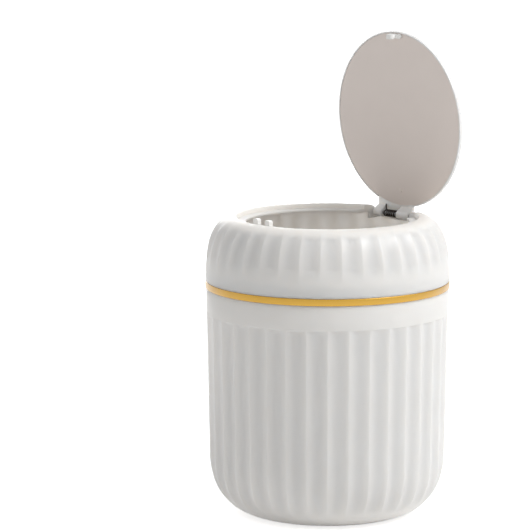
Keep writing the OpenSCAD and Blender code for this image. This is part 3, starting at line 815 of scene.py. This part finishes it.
    def slot(self, ledge_z):
        """The slot in the ledge that the jaws come through."""
        low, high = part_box("latch_slider")
        middle = (low.y + high.y) / 2
        play = 0.2 * MM
        half = 1.7 * MM
        depth = 4 * MM
        slot_low = (low.x - play, middle - half, ledge_z - depth)
        slot_high = (high.x + play, middle + half, lip_z + MM)
        return block(slot_low, slot_high)


class BIN_OT_lid(PieceOperator, bpy.types.Operator):
    """Models the lid: its domed cap, its inner panel and its two arms with the web between them"""

    bl_idname = "bin.lid"
    bl_label = "Lid"

    def execute(self, context):
        s = context.scene.bin_lid
        shell = context.scene.bin_shell
        low_z = lip_z - shell.seat_depth + s.rest_gap
        panel_r = lid_r - s.rim_w
        self.cap(s, low_z, panel_r)
        self.panel(s, low_z, panel_r)
        self.arms(s, low_z)
        return {"FINISHED"}

    def cap(self, s, low_z, panel_r):
        """The domed cap, whose rim stands round the panel."""
        toe = 0.25 * MM
        edge = 0.9 * MM
        play_round, play_above = 0.05 * MM, 0.1 * MM
        cavity_r = panel_r + play_round
        shelf_z = low_z + s.panel_t + play_above
        top_z = low_z + s.edge_h
        dome_r = (lid_r * lid_r + s.crown * s.crown) / (2 * s.crown)

        def dome(r, drop):
            return top_z + s.crown - dome_r + math.sqrt((dome_r - drop) ** 2 - r * r)

        outside = [plain(r, dome(r, 0)) for r in steps(lid_r - edge, 0, 30)]
        inside = [plain(r, max(dome(r, s.skin), shelf_z)) for r in steps(0, cavity_r, 24)]
        stations = (
            outside[::-1]
            + fillet(lid_r - edge, top_z - edge, edge, 80, -80, 6)
            + fillet(lid_r - toe, low_z + toe, toe, 0, -90, 3)
            + [plain(cavity_r, low_z)]
            + inside[::-1]
        )
        arms_right = s.knuckle_x - s.knuckle_gap
        beside_arms, notch_in, notch_out, notch_h = 0.3 * MM, 9 * MM, 3 * MM, 2.15 * MM
        notch_low = (arm_places(s)[0] - beside_arms, lid_r - notch_in, low_z - MM)
        notch_high = (arms_right + beside_arms, lid_r + notch_out, low_z + notch_h)
        bm = combined(
            revolve(stations, ROUND_COLUMNS, closed=False), ("DIFFERENCE", block(notch_low, notch_high)))
        swing_open(bm)
        place_piece("lid_dome", bm, "lid", "white_lid", ["lid_cap"], clean=MERGE_CUT)

    def panel(self, s, low_z, panel_r):
        """The inner panel: flat in the middle, with a dished border and a small pip near the hinge."""
        edge = 0.2 * MM
        border = [
            plain(panel_r - s.border * (1 - u), low_z + s.dish * u * u)
            for u in steps(0, 1 - edge / s.border, 10)]
        stations = (
            [plain(0, low_z)]
            + border
            + [plain(panel_r, low_z + s.dish + edge), plain(panel_r, low_z + s.panel_t)]
            + [plain(0, low_z + s.panel_t)]
        )
        bm = revolve(stations, ROUND_COLUMNS, closed=False)
        swing_open(bm)
        place_piece("lid_liner", bm, "lid", "lid_inner", ["lid_panel"])
        pip_y, pip_r = 42 * MM, 1.2 * MM
        pip = rod((0, pip_y, low_z - 0.4 * MM), (0, pip_y, low_z + 0.2 * MM), pip_r, 32, soften=0.25 * MM)
        swing_open(pip)
        place_piece("lid_pip", pip, "lid", "lid_inner")

    def arms(self, s, low_z):
        """The two arms that hold the pin, and the web that joins them over the spring."""
        r = s.barrel_d / 2
        foot = low_z + s.dish - pin_line.z
        back = 4.1 * MM
        top = [
            (-9 * MM, foot + 0.1 * MM), (-9 * MM, foot + s.panel_t / 2), (-4.6 * MM, back - 0.1 * MM),
            (-1.5 * MM, back), (1.2 * MM, back - 0.5 * MM)]
        arm = top + [(2.3 * MM, 2.2 * MM), (r, 0), (0, -0.2 * r), (-0.95 * r, -0.7 * MM), (-4.4 * MM, foot)]
        web = top + [(1.9 * MM, 3 * MM), (-1.5 * MM, 3 * MM), (-3.2 * MM, 2.75 * MM), (-4.4 * MM, foot)]
        left_x, right_x = arm_places(s)
        spans = [(left_x, s.left_arm_w), (right_x, s.right_arm_w)]
        lap = 0.2 * MM
        middle = self.side_slab(web, left_x + s.left_arm_w - lap, s.coil_room + 2 * lap)
        others = []
        for x, width in spans:
            others.append(("UNION", self.side_slab(arm, x, width)))
            others.append(("UNION", rod((x, *pin_line.yz), (x + width, *pin_line.yz), r, 64)))
        bm = combined(middle, *others)
        bmesh.ops.remove_doubles(bm, verts=bm.verts, dist=MERGE_CUT)
        bmesh.ops.dissolve_limit(bm, angle_limit=math.radians(1), verts=bm.verts, edges=bm.edges)
        round_edges(bm, sharp_edges(bm), 0.35 * MM, 3)
        bore = rod((left_x - MM, *pin_line.yz), (right_x + s.right_arm_w + MM, *pin_line.yz), BORE_R)
        bm = combined(bm, ("DIFFERENCE", bore))
        swing_open(bm)
        place_piece("lid_arms", bm, "lid", "white_lid", clean=MERGE_CUT)

    def side_slab(self, points, x, width):
        """A slab whose points are given about the pin."""
        return slab([(pin_line.y + y, pin_line.z + z) for y, z in points], x, width)


class BIN_OT_springs(PieceOperator, bpy.types.Operator):
    """Winds the torsion spring on the hinge pin and the push spring of the latch"""

    bl_idname = "bin.springs"
    bl_label = "Springs"

    def execute(self, context):
        s = context.scene.bin_lid
        self.torsion(s)
        self.push()
        return {"FINISHED"}

    def torsion(self, s):
        """The turns run from the lid's leg on the left to the collar's leg on the right.

        The lid's leg goes with the lid, and it carries the bit of wire that winds up as the lid closes.
        That bit lies inside the first turn while the lid is open.
        """
        per_turn, past_turn = 16, 5
        start_angle = math.radians(-20)
        leg_room, coil_in = 1.7 * MM, 1.45 * MM
        slimmer = 0.04 * MM
        radius = coil_in + s.coil_wire / 2
        right_x = arm_places(s)[1]
        pitch = (s.coil_room - 2 * leg_room) / s.coil_turns
        start_x = right_x - leg_room - pitch * s.coil_turns
        turns = []
        for i in range(s.coil_turns * per_turn + past_turn):
            angle = start_angle - math.tau * i / per_turn
            across = Vector((0, math.cos(angle), math.sin(angle))) * radius
            turns.append(pin_line + across + Vector((start_x + pitch * i / per_turn, 0, 0)))
        first, last = turns[0], turns[-1]
        leg_foot = Vector((first.x, *pin_line.yz))
        lid_leg = [leg_foot + Vector((-0.9, 1.3 + 0.05 * i, 5.0 - 1.2 * i)) * MM for i in range(3)]
        lid_leg.append(Vector((first.x - 0.6 * MM, first.y - 0.1 * MM, pin_line.z + 0.9 * MM)))
        collar_leg = [
            last + Vector((0.5, 0.1, -0.6)) * MM,
            last + Vector((0.6, 1.3, -0.95)) * MM,
            Vector((last.x + 0.6 * MM, pin_line.y + 4.4 * MM, last.z - MM)),
        ]
        coil = wire_mesh(turns + collar_leg, s.coil_wire)
        place_piece("torsion_wire", coil, "collar", "spring_steel", ["torsion_spring"])
        winds_up = turns[: 1 + math.ceil(open_angle / math.tau * per_turn)]
        leg = wire_mesh(lid_leg + winds_up, s.coil_wire - slimmer)
        place_piece("torsion_lid_leg", leg, "lid", "spring_steel")

    def push(self):
        """The spring that pushes the latch slider out."""
        low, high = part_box("latch_spring")
        thickness = 0.4 * MM
        centre = (low + high) / 2
        radius = (high.x - low.x - thickness) / 2
        turns, per_turn = 8, 16
        rise = high.z - low.z - thickness
        path = []
        for i in range(turns * per_turn + 1):
            angle = math.tau * i / per_turn
            z = low.z + thickness / 2 + rise * i / (turns * per_turn)
            path.append(Vector((centre.x + radius * math.cos(angle), centre.y + radius * math.sin(angle), z)))
        place_piece("latch_coil", wire_mesh(path, thickness, 3), "collar", "spring_steel", ["latch_spring"])


class BIN_OT_small_mouldings(PieceOperator, bpy.types.Operator):
    """Rounds the edges of the latch's mouldings and of the striker, as their moulds leave them"""

    bl_idname = "bin.small_mouldings"
    bl_label = "Latch and striker"

    def execute(self, context):
        self.softened("latch_housing", "latch_frame", "collar", 0.2 * MM)
        self.softened("latch_base", "latch_foot", "collar", 0.12 * MM)
        self.softened("latch_slider", "latch_jaws", "latch_slider", 0.25 * MM)
        self.softened("lid_striker", "striker", "lid", 0.2 * MM)
        return {"FINISHED"}

    def softened(self, node, name, body, width):
        """A copy of a packed moulding with its edges rounded, and its flats kept flat beside them."""
        bm = bmesh.new()
        bm.from_mesh(frame["nodes"][node].data)
        bmesh.ops.remove_doubles(bm, verts=bm.verts, dist=MERGE_CUT)
        bmesh.ops.dissolve_limit(bm, angle_limit=math.radians(2), verts=bm.verts, edges=bm.edges)
        round_edges(bm, sharp_edges(bm), width)
        piece = place_piece(name, bm, body, "latch_plastic", [node])
        piece.modifiers.new("even flats", "WEIGHTED_NORMAL").keep_sharp = True


class BIN_OT_packed_finishes(PieceOperator, bpy.types.Operator):
    """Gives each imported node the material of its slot"""

    bl_idname = "bin.packed_finishes"
    bl_label = "Finishes of the packed nodes"

    def execute(self, context):
        for part in frame["record"]["subparts"]:
            node = frame["nodes"][part["node"]]
            if not node.material_slots:
                node.data.materials.append(None)
            for material_slot in node.material_slots:
                material_slot.material = finish_of(part["material_slot"])
        return {"FINISHED"}


# The side that the camera looks from, in degrees from the latch towards +X
CAMERA_SIDE = 48.1


class BIN_OT_stage(PieceOperator, bpy.types.Operator):
    """Sets up the floor, the lamps, the surroundings and the camera"""

    bl_idname = "bin.stage"
    bl_label = "Stage"

    def execute(self, context):
        self.floor(context)
        self.surroundings(context)
        self.lamps(context)
        self.camera(context)
        context.scene.view_settings.view_transform = "Standard"
        return {"FINISHED"}

    def background_rays(self, tree):
        """1 for the rays that see the background as white: the camera's, and those in gloss and glass."""
        rays = add_node(tree, "ShaderNodeLightPath")
        seen = rays.outputs["Is Camera Ray"]
        for kind in ("Is Glossy Ray", "Is Transmission Ray"):
            both = {0: seen, 1: rays.outputs[kind]}
            seen = add_node(tree, "ShaderNodeMath", both, operation="MAXIMUM").outputs[0]
        return seen

    def floor(self, context):
        """A pale floor, which the background's rays see as white where nothing shades it."""
        half = 6.0
        speck = 60 * MM
        lift_to_white = 0.68
        bm = bmesh.new()
        bmesh.ops.create_grid(bm, x_segments=1, y_segments=1, size=half)
        floor = new_object("floor", bm)
        material = bpy.data.materials.new("matt_white_table")
        tree = bare_tree(material)
        place = add_node(tree, "ShaderNodeTexCoord").outputs["Object"]
        specks = add_node(tree, "ShaderNodeTexNoise", {"Vector": place, "Scale": 1 / speck, "Detail": 2.0})
        base = linear(context.scene.bin_colours.floor)
        tones = {"Factor": specks.outputs["Fac"], 6: base, 7: tinted(base, 0.97)}
        colour = add_node(tree, "ShaderNodeMix", tones, data_type="RGBA").outputs[2]
        matt = add_node(tree, "ShaderNodeBsdfDiffuse", {"Color": colour})
        seen = {0: self.background_rays(tree), 1: lift_to_white}
        lift = add_node(tree, "ShaderNodeMath", seen, operation="MULTIPLY")
        glow = add_node(tree, "ShaderNodeEmission", {"Color": (1, 1, 1, 1), "Strength": lift.outputs[0]})
        both = add_node(tree, "ShaderNodeAddShader", {0: matt.outputs[0], 1: glow.outputs[0]})
        add_node(tree, "ShaderNodeOutputMaterial", {"Surface": both.outputs[0]})
        floor.data.materials.append(material)

    def surroundings(self, context):
        """A white studio to the camera, to gloss and to glass, and a plain light to the rest."""
        at_horizon, overhead = 0.64, 0.46
        world = bpy.data.worlds.new("studio")
        context.scene.world = world
        tree = bare_tree(world)
        way = add_node(tree, "ShaderNodeTexCoord").outputs["Object"]
        rise = add_node(tree, "ShaderNodeSeparateXYZ", {"Vector": way}).outputs["Z"]
        sky = {"Value": rise, "From Min": 0.0, "From Max": 1.0, "To Min": at_horizon, "To Max": overhead}
        plain_light = add_node(tree, "ShaderNodeMapRange", sky).outputs["Result"]
        choice = {"Value": self.background_rays(tree), "To Min": plain_light, "To Max": 1.0}
        strength = add_node(tree, "ShaderNodeMapRange", choice)
        light = add_node(
            tree, "ShaderNodeBackground", {"Color": (1, 1, 1, 1), "Strength": strength.outputs["Result"]})
        add_node(tree, "ShaderNodeOutputWorld", {"Surface": light.outputs[0]})

    def lamps(self, context):
        """A high soft lamp on the right, and a weak low one behind the bin."""
        self.lamp(context, "key", turn=70, rise=48, width=0.6, watts=14.5)
        self.lamp(context, "back", turn=190, rise=7, width=0.7, watts=4.5)

    def lamp(self, context, name, turn, rise, width, watts):
        """A round soft lamp, turned about the bin from the camera's side and raised, both in degrees."""
        middle = Vector((0, 0, 0.11))
        distance = 1.6
        turn = math.radians(CAMERA_SIDE + turn)
        rise = math.radians(rise)
        away = Vector((math.sin(turn) * math.cos(rise), -math.cos(turn) * math.cos(rise), math.sin(rise)))
        data = bpy.data.lights.new(name, "AREA")
        data.shape = "DISK"
        data.size = width
        data.energy = watts
        lamp = bpy.data.objects.new(name, data)
        lamp.location = middle + away * distance
        lamp.rotation_euler = (-away).to_track_quat("-Z", "Y").to_euler()
        context.scene.collection.objects.link(lamp)

    def camera(self, context):
        """The camera of the photograph, from the outlines of the bin: 9 degrees down, and 1 degree aside."""
        down, aside = 8.995, 1.05
        data = bpy.data.cameras.new("camera")
        data.sensor_width = 36.0
        data.lens = 234.4
        camera = bpy.data.objects.new("camera", data)
        camera.location = (1.4633, -1.3129, 0.4554)
        camera.rotation_euler = (math.radians(90 - down), 0, math.radians(CAMERA_SIDE + aside))
        context.scene.collection.objects.link(camera)
        context.scene.camera = camera


class BIN_PT_panel(bpy.types.Panel):
    """The bin's pieces in the sidebar"""

    bl_label = "Desktop Bin"
    bl_idname = "BIN_PT_panel"
    bl_space_type = "VIEW_3D"
    bl_region_type = "UI"
    bl_category = "Bin"

    def draw(self, context):
        for group in ("bin_shell", "bin_lid", "bin_colours"):
            box = self.layout.box()
            settings = getattr(context.scene, group)
            for name in settings.bl_rna.properties.keys():
                if name not in ("rna_type", "name"):
                    box.prop(settings, name)
        for operator in OPERATORS:
            self.layout.operator(operator.bl_idname)


GROUPS = {"bin_shell": BinShellSizes, "bin_lid": BinLidSizes, "bin_colours": BinColours}
OPERATORS = [
    BIN_OT_stage, BIN_OT_bucket, BIN_OT_ring, BIN_OT_collar, BIN_OT_lid, BIN_OT_springs,
    BIN_OT_small_mouldings, BIN_OT_packed_finishes]


def register():
    """Registers the property groups, the operators and the panel."""
    for name, group in GROUPS.items():
        bpy.utils.register_class(group)
        setattr(bpy.types.Scene, name, bpy.props.PointerProperty(type=group))
    for cls in [*OPERATORS, BIN_PT_panel]:
        bpy.utils.register_class(cls)


def unregister():
    """Takes them away again."""
    for cls in [BIN_PT_panel, *reversed(OPERATORS)]:
        bpy.utils.unregister_class(cls)
    for name, group in reversed(GROUPS.items()):
        delattr(bpy.types.Scene, name)
        bpy.utils.unregister_class(group)


def main():
    """Makes the whole bin and its stage."""
    register()
    for operator in OPERATORS:
        getattr(bpy.ops.bin, operator.bl_idname.split(".")[1])()


if __name__ == "__main__":
    main()
